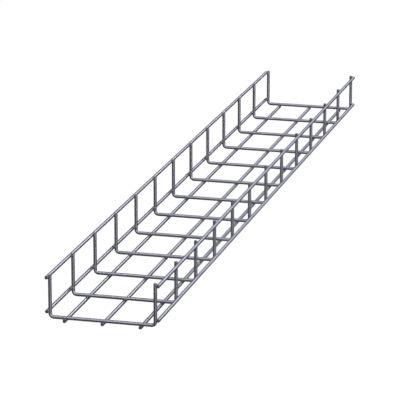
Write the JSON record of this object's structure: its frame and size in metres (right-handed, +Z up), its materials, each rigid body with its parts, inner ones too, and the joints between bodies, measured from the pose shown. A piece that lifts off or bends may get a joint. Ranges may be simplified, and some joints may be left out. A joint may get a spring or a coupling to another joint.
{
  "type": "wire mesh cable basket",
  "caption": "Straight length of welded wire cable basket: bent cross wires carried by straight rails, side wires and floor wires, open on top and at both ends.",
  "frame": {"origin": "middle of the basket's length and width, on the surface its floor wires lie on", "axes": "+Y along the basket, +X across it, +Z up out of its open top"},
  "size_m": [0.1548, 1.2052, 0.063],
  "materials": {
    "zinc_wire": "bright zinc plating on drawn steel wire, smooth, with a cool violet-grey tint"
  },
  "bodies": {
    "root": {"u_wire_01": "zinc_wire", "u_wire_02": "zinc_wire", "u_wire_03": "zinc_wire", "u_wire_04": "zinc_wire", "u_wire_05": "zinc_wire", "u_wire_06": "zinc_wire", "u_wire_07": "zinc_wire", "u_wire_08": "zinc_wire", "u_wire_09": "zinc_wire", "u_wire_10": "zinc_wire", "u_wire_11": "zinc_wire", "u_wire_12": "zinc_wire", "u_wire_13": "zinc_wire", "top_rail_left": "zinc_wire", "top_rail_right": "zinc_wire", "side_wire_left": "zinc_wire", "side_wire_right": "zinc_wire", "floor_wire_left": "zinc_wire", "floor_wire_centre": "zinc_wire", "floor_wire_right": "zinc_wire"}
  },
  "joints": []
}
